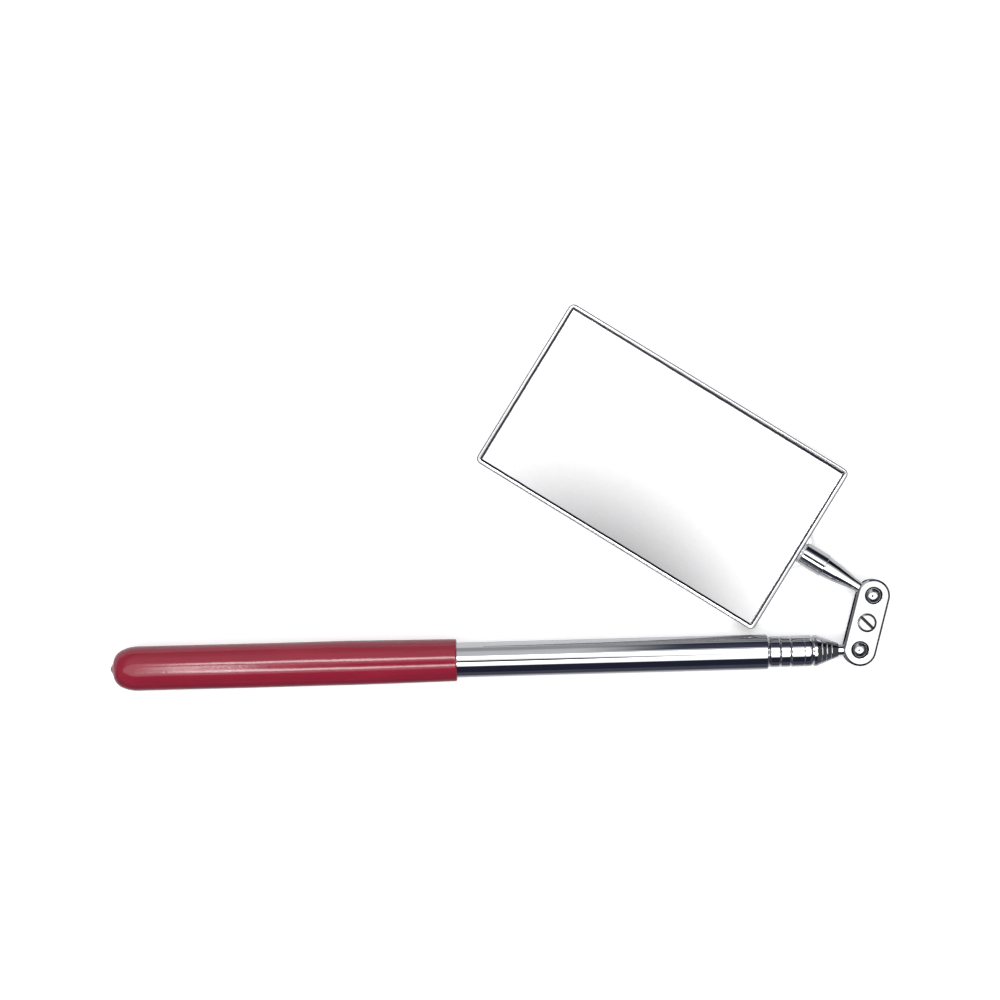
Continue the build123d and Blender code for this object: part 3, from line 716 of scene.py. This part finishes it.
PLATE_BEVEL = 0.55
BEVEL_DEPTH = 0.36
BEVEL_EASE = 0.03
BEVEL_FOOT = 0.04
BEVEL_HEAD = 0.05
PLATE_EDGE = 0.06
HOLE_BEVEL = 0.12
HOLE_FLARE = 0.8
HOLE_MARGIN = 0.02
HOLE_RADIUS = 2.385
SCREW_HOLE = 1.55
BALL_RADIUS = 3.175
SEAT_GAP = 0.02
SEAT_SWELL = 0.05
ROUND_STEPS = 48


def stadium(half_length, half_width, inset):
    """An outline with two round ends, as (x, y) pairs, drawn in from its edge."""
    radius = half_width - inset
    ends = half_length - half_width
    right = arc((ends, 0), radius, -90, 90, ROUND_STEPS)
    left = arc((-ends, 0), radius, 90, 270, ROUND_STEPS)
    return right + left


def loop_walls(mesh, loops):
    """Joins equal closed loops of (x, y, z) points with quads and gives back the end loops."""
    rows = [[mesh.verts.new(LINK @ Vector(point)) for point in loop] for loop in loops]
    for lower, upper in zip(rows, rows[1:]):
        for a in range(len(lower)):
            b = (a + 1) % len(lower)
            mesh.faces.new((lower[a], lower[b], upper[b], upper[a]))
    return rows[0], rows[-1]


def circle(x, radius, height):
    return [(x + px, py, height) for px, py in arc((0, 0), radius, 0, 360, ROUND_STEPS)[:-1]]


def darken_holes(mesh, centres):
    """Paints shade on the walls of the two ball holes: they take the mesh's second material, a near-black
    steel.
    """
    back = LINK.inverted()
    for polygon in mesh.polygons:
        middle = back @ polygon.center
        from_ball = math.hypot(abs(middle.x) - centres, middle.y)
        upright = abs((back.to_3x3() @ polygon.normal).normalized().z) < 0.5
        polygon.material_index = int(upright and from_ball < HOLE_RADIUS + HOLE_MARGIN)


def link_plate(name, node, side):
    """A pressed plate with a bevelled rim, two ball seats and the screw hole; side is +1 or -1."""
    low, high = local_box(node, LINK)
    inner, outer = sorted((abs(low.z), abs(high.z)))
    half_length, half_width = (high.x - low.x) / 2, (high.y - low.y) / 2
    centres = (UPPER_BALL - LOWER_BALL).length / 2 / MM
    seat_edge = math.sqrt((BALL_RADIUS + SEAT_GAP) ** 2 - inner**2)
    lip = math.sqrt((BALL_RADIUS + SEAT_GAP) ** 2 - HOLE_RADIUS**2)
    mesh = bmesh.new()
    shoulder = outer - BEVEL_DEPTH
    rims = [(PLATE_EDGE, inner), (0.0, inner + PLATE_EDGE), (0.0, shoulder)]
    rims += [(BEVEL_EASE, shoulder + BEVEL_FOOT), (PLATE_BEVEL - BEVEL_HEAD, outer - BEVEL_EASE)]
    rims.append((PLATE_BEVEL + BEVEL_EASE, outer))
    loops = []
    for inset, height in rims:
        loops.append([(x, y, side * height) for x, y in stadium(half_length, half_width, inset)])
    backs, fronts = [], []
    first, last = loop_walls(mesh, loops)
    backs.append(first)
    fronts.append(last)
    for x in (-centres, centres):
        middle = ((seat_edge + HOLE_RADIUS) / 2 + SEAT_SWELL, (inner + lip) / 2)
        steps = (
            (seat_edge, inner), middle, (HOLE_RADIUS, lip), (HOLE_RADIUS, outer - HOLE_BEVEL),
            (HOLE_RADIUS + HOLE_BEVEL * HOLE_FLARE, outer),
        )
        first, last = loop_walls(mesh, [circle(x, r, side * z) for r, z in steps])
        backs.append(first)
        fronts.append(last)
    steps = ((SCREW_HOLE, inner), (SCREW_HOLE, outer))
    first, last = loop_walls(mesh, [circle(0, r, side * z) for r, z in steps])
    backs.append(first)
    fronts.append(last)
    for ends in (backs, fronts):
        pairs = [pair for loop in ends for pair in zip(loop, loop[1:] + loop[:1])]
        edges = [mesh.edges.get(pair) for pair in pairs]
        bmesh.ops.triangle_fill(mesh, use_beauty=True, use_dissolve=False, edges=edges)
    mesh.verts.index_update()
    vertices = [vertex.co.copy() for vertex in mesh.verts]
    faces = [[vertex.index for vertex in face.verts] for face in mesh.faces]
    mesh.free()
    made = piece(name, vertices, faces, "link", FINISHES[node], node)
    # Second material: near-black steel, painted shade on the ball-hole walls.
    made.data.materials.append(painted_shade_steel)
    darken_holes(made.data, centres)
    sharpen(made, 12)


link_plate("pressed_plate_front", "front_link_plate", 1)
link_plate("pressed_plate_rear", "rear_link_plate", -1)


# ---------------------------------------------------------------- stage


CAMERA_HEIGHT = 0.757
FLOOR_Z = CAD_LOW.z
CENTRE = (CAD_LOW + CAD_HIGH) / 2
FLOOR_RADIUS = 5.0
FLOOR_STEPS = 96
FLOOR_LIFT = 0.3
FLOOR_DARK = (-22.0, -4.0)


def stage_sheet(name, corners, material):
    """A flat stage surface with one material."""
    mesh = bpy.data.meshes.new(name)
    mesh.from_pydata(corners, [], [tuple(range(len(corners)))])
    made = bpy.data.objects.new(name, mesh)
    scene.collection.objects.link(made)
    mesh.materials.append(material)
    return made


def floor():
    """A wide pale floor that the tool lies on; what reflections and bounced light see of it is painted
    shade.
    """
    turns = [2 * math.pi * step / FLOOR_STEPS for step in range(FLOOR_STEPS)]
    ring = [(FLOOR_RADIUS * math.cos(a), FLOOR_RADIUS * math.sin(a), FLOOR_Z) for a in turns]
    s = Shader("floor_paper")
    place = s.position()
    tooth = s.noise(place, 1.5, 3.0)
    colour = s.mix(s.remap(tooth, 0.3, 0.7, 0.0, 1.0), rgb(0.9, 0.9, 0.9), rgb(0.92, 0.92, 0.92))
    split = s.node("SeparateXYZ")
    s.link(place, split.inputs[0])
    # Painted shade and painted reflection: rays other than camera rays see a grey floor, going dark navy
    # towards the front (-Y) side.
    behind = s.remap(split.outputs["Y"], FLOOR_DARK[0], FLOOR_DARK[1], 0.0, 1.0, True)
    painted_bounce_shade = s.mix(behind, rgb(0.05, 0.052, 0.075), rgb(0.62, 0.62, 0.63))
    sight = s.node("LightPath")
    colour = s.mix(sight.outputs["Is Camera Ray"], painted_bounce_shade, colour)
    s.principled(
        Base_Color=colour, Roughness=0.9, Specular_IOR_Level=0.1,
        Emission_Color=rgb(1.0, 1.0, 1.0),
        Emission_Strength=s.math("MULTIPLY", sight.outputs["Is Camera Ray"], FLOOR_LIFT),
    )
    stage_sheet("floor", ring, s.owner)


STRIP_HEIGHT = 0.80
STRIP_LEFT, STRIP_RIGHT = -0.13, 0.36
STRIP_FADE = 0.03
STRIP_RADIANCE = 9.5
BACK_STRIP = (12, 23)
FRONT_STRIP = (-29, -16)
STRIP_JOIN = (-23, 8)
JOIN_RIGHT = -0.065


def strip_light(name, angles, left, right):
    """A long soft lamp over the tool, between two angles seen from the handle's axis."""
    near, far = [STRIP_HEIGHT * math.tan(math.radians(a)) for a in angles]
    s = Shader(name)
    coordinates = s.node("TexCoord")
    split = s.node("SeparateXYZ")
    s.link(coordinates.outputs["Object"], split.inputs[0])
    x, y = split.outputs["X"], split.outputs["Y"]
    fades = (
        s.remap(x, left, left + STRIP_FADE, 0.0, 1.0, True),
        s.remap(x, right - STRIP_FADE, right, 1.0, 0.0, True),
        s.remap(y, near, near + STRIP_FADE, 0.0, 1.0, True),
        s.remap(y, far - STRIP_FADE, far, 1.0, 0.0, True),
    )
    strength = STRIP_RADIANCE
    for fade in fades:
        strength = s.math("MULTIPLY", fade, strength)
    emission = s.node("Emission")
    s.link(strength, emission.inputs["Strength"])
    clear = s.node("BsdfTransparent")
    both = s.node("AddShader")
    s.link(clear.outputs[0], both.inputs[0])
    s.link(emission.outputs[0], both.inputs[1])
    s.link(both.outputs[0], s.output.inputs["Surface"])
    corners = [
        (left, far, STRIP_HEIGHT), (right, far, STRIP_HEIGHT),
        (right, near, STRIP_HEIGHT), (left, near, STRIP_HEIGHT),
    ]
    made = stage_sheet(name, corners, s.owner)
    made.visible_camera = False
    made.visible_shadow = False


CARD_CENTRE = (0.06, -0.104)
CARD_REACH = (0.13, 0.195)
CARD_CORE = 0.45
CARD_EDGE = 1.4
CARD_CLEAR = 0.01
CARD_ABOVE_LENS = 0.01


def lens_card():
    """A soft dark card round the lens, which the mirror and the chrome reflect as a grey patch."""
    s = Shader("lens_card")
    coordinates = s.node("TexCoord")
    mapping = s.node("Mapping", vector_type="TEXTURE")
    mapping.inputs["Location"].default_value = (*CARD_CENTRE, CAMERA_HEIGHT + CARD_ABOVE_LENS)
    mapping.inputs["Scale"].default_value = (*CARD_REACH, 1.0)
    s.link(coordinates.outputs["Object"], mapping.inputs["Vector"])
    length = s.node("VectorMath", operation="LENGTH")
    s.link(mapping.outputs[0], length.inputs[0])
    clear = s.remap(length.outputs["Value"], CARD_CORE, CARD_EDGE, CARD_CLEAR, 1.0, True)
    through = s.node("BsdfTransparent")
    s.link(clear, through.inputs["Color"])
    s.link(through.outputs[0], s.output.inputs["Surface"])
    across, along = CARD_REACH[0] * CARD_EDGE, CARD_REACH[1] * CARD_EDGE
    x, y, z = (*CARD_CENTRE, CAMERA_HEIGHT + CARD_ABOVE_LENS)
    corners = [
        (x - across, y - along, z), (x + across, y - along, z),
        (x + across, y + along, z), (x - across, y + along, z),
    ]
    made = stage_sheet("lens_card", corners, s.owner)
    made.visible_camera = False
    made.visible_shadow = False


FLAG_Y = 0.35
FLAG_Z = (0.09, 0.52)
FLAG_X = (0.10, 0.7)
FLAG_FADE = 0.05


def back_flag():
    """A dark flag beyond the right half of the tool."""
    s = Shader("back_flag")
    coordinates = s.node("TexCoord")
    split = s.node("SeparateXYZ")
    s.link(coordinates.outputs["Object"], split.inputs[0])
    solid = s.remap(split.outputs["X"], FLAG_X[0], FLAG_X[0] + FLAG_FADE, 0.0, 1.0, True)
    top = s.remap(split.outputs["Z"], FLAG_Z[1] - FLAG_FADE, FLAG_Z[1], 1.0, 0.0, True)
    through = s.node("BsdfTransparent")
    clear, dark = rgb(1.0, 1.0, 1.0), rgb(0.09, 0.095, 0.15)
    s.link(s.mix(s.math("MULTIPLY", solid, top), clear, dark), through.inputs["Color"])
    s.link(through.outputs[0], s.output.inputs["Surface"])
    corners = [
        (FLAG_X[0], FLAG_Y, FLAG_Z[0]), (FLAG_X[1], FLAG_Y, FLAG_Z[0]),
        (FLAG_X[1], FLAG_Y, FLAG_Z[1]), (FLAG_X[0], FLAG_Y, FLAG_Z[1]),
    ]
    made = stage_sheet("back_flag", corners, s.owner)
    made.visible_camera = False
    made.visible_shadow = False


SKY_RADIANCE = 1.75
NAVY = (0.012, 0.013, 0.026)
SKY_CENTRE = (-3, -6.5)
SKY_REACH = (46, 33.5)
SKY_EDGE = (0.92, 1.07)
ROOM_STOPS = (
    (-180, (0.5, 0.5, 0.5)), (-112, (0.45, 0.45, 0.46)), (-104, NAVY), (-30, NAVY),
    (10, (0.3, 0.3, 0.31)), (33, (0.42, 0.42, 0.43)), (57, (0.38, 0.38, 0.39)),
    (66, (0.22, 0.22, 0.225)), (86, (0.24, 0.24, 0.245)), (94, (0.5, 0.5, 0.5)),
    (180, (0.5, 0.5, 0.5)),
)
SIDE_FADE = (36, 50)
LEFT_LEVEL = 0.09
RIGHT_LEVEL = 0.045
WALL_BLUE = 1.1


def room():
    """A soft round sky overhead, a grey wall behind the tool, and a dark room round the rest."""
    s = Shader("studio", world=True)
    coordinates = s.node("TexCoord")
    split = s.node("SeparateXYZ")
    s.link(coordinates.outputs["Generated"], split.inputs[0])
    lean = s.math("ARCTAN2", split.outputs["Y"], split.outputs["Z"])
    ramp = s.node("ValToRGB")
    elements = ramp.color_ramp.elements
    while len(elements) < len(ROOM_STOPS):
        elements.new(0.5)
    for element, (angle, level) in zip(elements, ROOM_STOPS):
        element.position = (angle + 180) / 360
        element.color = rgb(*level)
    s.link(s.math("MULTIPLY_ADD", lean, 0.5 / math.pi, 0.5), ramp.inputs[0])
    aside = s.math("ARCTAN2", split.outputs["X"], split.outputs["Z"])
    low, high = [math.radians(a) for a in SIDE_FADE]
    side = s.remap(s.math("ABSOLUTE", aside), low, high, 0.0, 1.0, True)
    right = s.remap(aside, -low, low, 0.0, 1.0, True)
    left_wall, right_wall = [rgb(v, v, v * WALL_BLUE) for v in (LEFT_LEVEL, RIGHT_LEVEL)]
    room_colour = s.mix(side, ramp.outputs[0], s.mix(right, left_wall, right_wall))
    squares = []
    for angle, centre, reach in zip((aside, lean), SKY_CENTRE, SKY_REACH):
        offset = s.math("SUBTRACT", angle, math.radians(centre))
        share = s.math("DIVIDE", offset, math.radians(reach))
        squares.append(s.math("MULTIPLY", share, share))
    distance = s.math("SQRT", s.math("ADD", *squares))
    outside = s.remap(distance, *SKY_EDGE, 0.0, 1.0, True)
    colour = s.mix(outside, rgb(1.0, 1.0, 1.0), room_colour)
    background = s.node("Background")
    background.inputs["Strength"].default_value = SKY_RADIANCE
    s.link(colour, background.inputs["Color"])
    plain = s.node("Background")
    plain.inputs["Color"].default_value = rgb(0.94, 0.94, 0.945)
    sight = s.node("LightPath")
    mixer = s.node("MixShader")
    s.link(sight.outputs["Is Camera Ray"], mixer.inputs[0])
    s.link(background.outputs[0], mixer.inputs[1])
    s.link(plain.outputs[0], mixer.inputs[2])
    s.link(mixer.outputs[0], s.output.inputs["Surface"])
    scene.world = s.owner


floor()
strip_light("back_strip", BACK_STRIP, STRIP_LEFT, STRIP_RIGHT)
strip_light("front_strip", FRONT_STRIP, STRIP_LEFT, STRIP_RIGHT)
strip_light("strip_join", STRIP_JOIN, STRIP_LEFT, JOIN_RIGHT)
lens_card()
back_flag()
room()


# ---------------------------------------------------------------- camera


CAMERA_LENS = 100.0
AIM_OFFSET = Vector((1.03, -1.78, 0.0)) * MM
HANDLE_TILT = math.radians(1.53)

camera_data = bpy.data.cameras.new("camera")
camera_data.lens = CAMERA_LENS
camera = bpy.data.objects.new("camera", camera_data)
aim = Vector((CENTRE.x, CENTRE.y, 0.0)) + AIM_OFFSET
camera.location = (aim.x, aim.y, CAMERA_HEIGHT)
camera.rotation_euler = (0.0, 0.0, -HANDLE_TILT)
scene.collection.objects.link(camera)
scene.camera = camera
scene.view_settings.view_transform = "Standard"


# ---------------------------------------------------------------- box corners


def corners(box):
    return [list(box[0]), list(box[1])]
